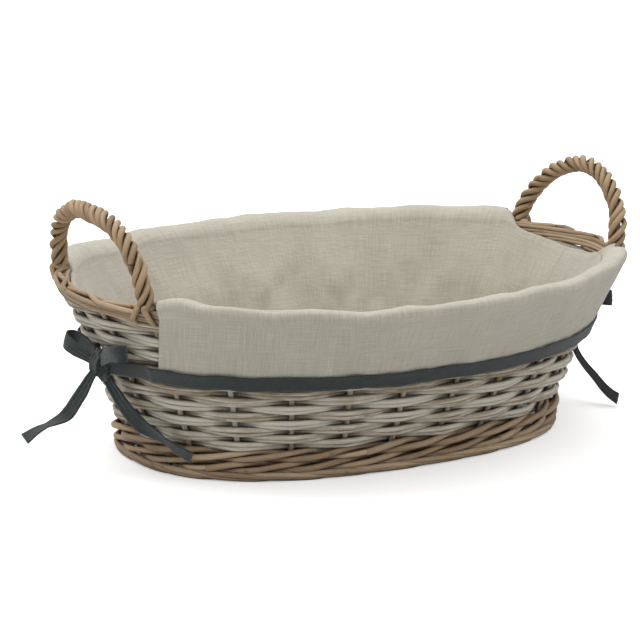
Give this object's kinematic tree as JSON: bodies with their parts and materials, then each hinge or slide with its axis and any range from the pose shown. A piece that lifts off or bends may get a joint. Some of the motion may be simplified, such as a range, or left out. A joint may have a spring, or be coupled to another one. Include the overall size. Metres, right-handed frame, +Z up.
{
  "type": "bread basket",
  "caption": "Oval woven willow bread basket with roped end handles, paired-rod weave and a removable linen lining tied with tape bows.",
  "frame": {"origin": "centre of the foot ring's underside", "axes": "+X along the long axis towards one handle, +Y towards the back, +Z up"},
  "size_m": [0.428, 0.295, 0.1638],
  "materials": {
    "willow_natural": "unvarnished tan willow, satin bark-free rod",
    "willow_grey": "grey-washed willow, matt, with tan showing through",
    "willow_base": "plain willow, matt",
    "willow_handle": "golden brown roped willow, satin",
    "linen": "natural undyed linen, plain weave with slubs",
    "slate_tape": "slate cotton tape, fine twill"
  },
  "bodies": {
    "basket": {"base_cross_sticks": "willow_base", "base_long_sticks": "willow_base", "base_weave": "willow_base", "foot_ring": "willow_natural", "bottom_wale": "willow_natural", "stakes": "willow_grey", "side_weave": "willow_grey", "top_border": "willow_natural", "left_handle_core": "willow_handle", "left_handle_wrap": "willow_handle", "right_handle_core": "willow_handle", "right_handle_wrap": "willow_handle"},
    "lining": {"lining_base": "linen", "lining_back_panel": "linen", "lining_front_panel": "linen", "back_cuff": "linen", "front_cuff": "linen", "back_tape": "slate_tape", "front_tape": "slate_tape", "left_bow_knot": "slate_tape", "right_bow_knot": "slate_tape", "left_bow_near_loop": "slate_tape", "left_bow_far_loop": "slate_tape", "right_bow_near_loop": "slate_tape", "right_bow_far_loop": "slate_tape"},
    "left_near_tie": {"left_near_tie": "slate_tape"},
    "left_far_tie": {"left_far_tie": "slate_tape"},
    "right_near_tie": {"right_near_tie": "slate_tape"},
    "right_far_tie": {"right_far_tie": "slate_tape"}
  },
  "joints": [
    {"name": "lining_lift", "type": "slide", "parent": "basket", "child": "lining", "axis": [0, 0, 1], "range_m": [0, 0.22], "deforming": ["lining_back_panel", "lining_front_panel", "back_cuff", "front_cuff", "back_tape", "front_tape", "left_bow_knot", "right_bow_knot", "left_bow_near_loop", "left_bow_far_loop", "right_bow_near_loop", "right_bow_far_loop", "left_near_tie", "left_far_tie", "right_near_tie", "right_far_tie"]},
    {"name": "left_near_tie_swing", "type": "hinge", "parent": "lining", "child": "left_near_tie", "pos_m": [-0.17421, -0.01167, 0.06825], "axis": [0, 1, 0], "range_deg": [0, 35]},
    {"name": "left_far_tie_swing", "type": "hinge", "parent": "lining", "child": "left_far_tie", "pos_m": [-0.17421, -0.01167, 0.06825], "axis": [0, 1, 0], "range_deg": [-20, 25]},
    {"name": "right_near_tie_swing", "type": "hinge", "parent": "lining", "child": "right_near_tie", "pos_m": [0.17693, 0, 0.06826], "axis": [0, -1, 0], "range_deg": [0, 35]},
    {"name": "right_far_tie_swing", "type": "hinge", "parent": "lining", "child": "right_far_tie", "pos_m": [0.17693, 0, 0.06826], "axis": [0, -1, 0], "range_deg": [0, 35]}
  ]
}
